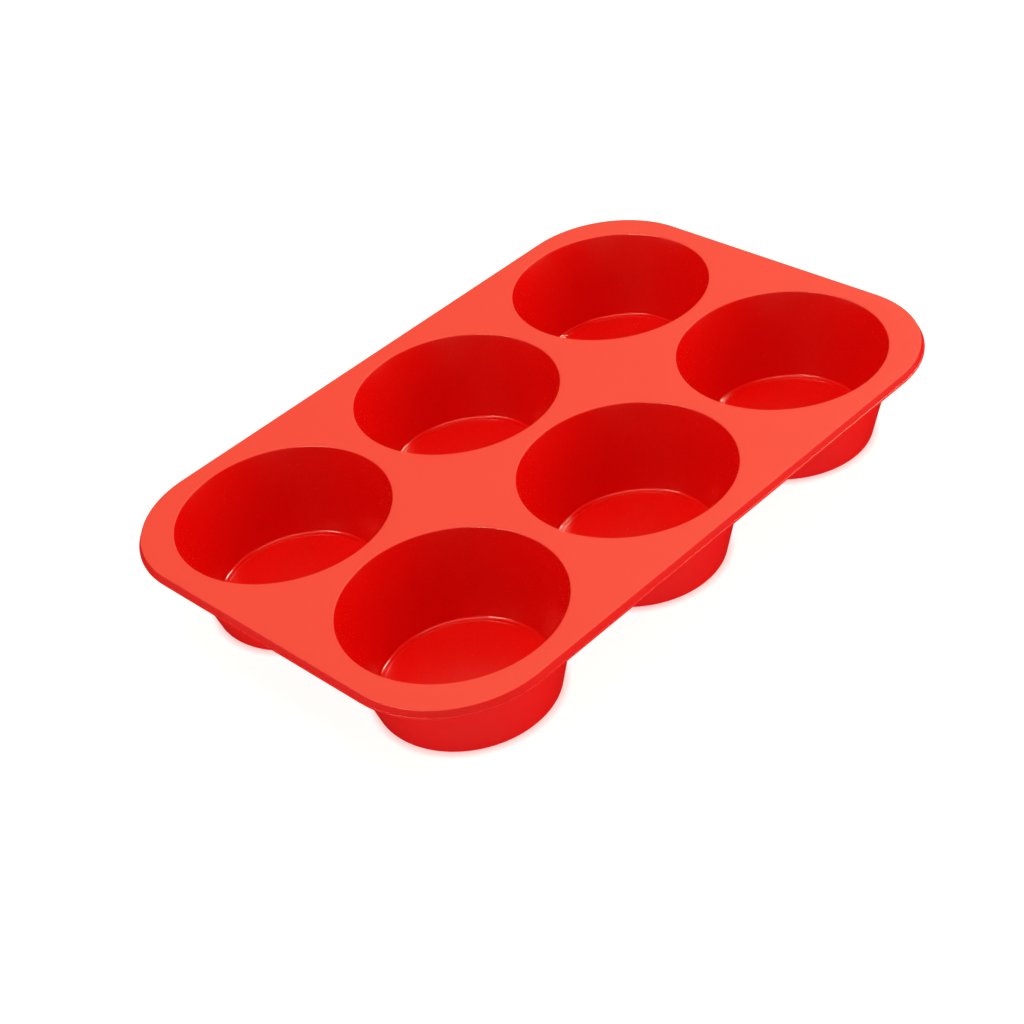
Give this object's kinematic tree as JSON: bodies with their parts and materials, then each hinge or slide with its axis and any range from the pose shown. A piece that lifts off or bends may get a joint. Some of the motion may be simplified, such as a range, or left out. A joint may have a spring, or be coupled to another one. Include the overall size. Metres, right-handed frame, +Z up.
{
  "type": "muffin pan",
  "caption": "Rectangular muffin pan moulded from silicone, with a flat rounded deck, a beaded rim and round tapered cups in two rows.",
  "frame": {"origin": "centre of the pan's footprint, on the surface that the cups' bases stand on", "axes": "+X along the long side to the right, +Y from the front row of cups to the back row, +Z up out of the cups"},
  "size_m": [0.2848, 0.1912, 0.039],
  "materials": {
    "silicone": "satin moulded silicone, opaque red"
  },
  "bodies": {
    "root": {"deck": "silicone", "rim_bead": "silicone", "cup_wall_front_left": "silicone", "cup_wall_front_middle": "silicone", "cup_wall_front_right": "silicone", "cup_wall_back_left": "silicone", "cup_wall_back_middle": "silicone", "cup_wall_back_right": "silicone", "cup_floor_front_left": "silicone", "cup_floor_front_middle": "silicone", "cup_floor_front_right": "silicone", "cup_floor_back_left": "silicone", "cup_floor_back_middle": "silicone", "cup_floor_back_right": "silicone"}
  },
  "joints": []
}
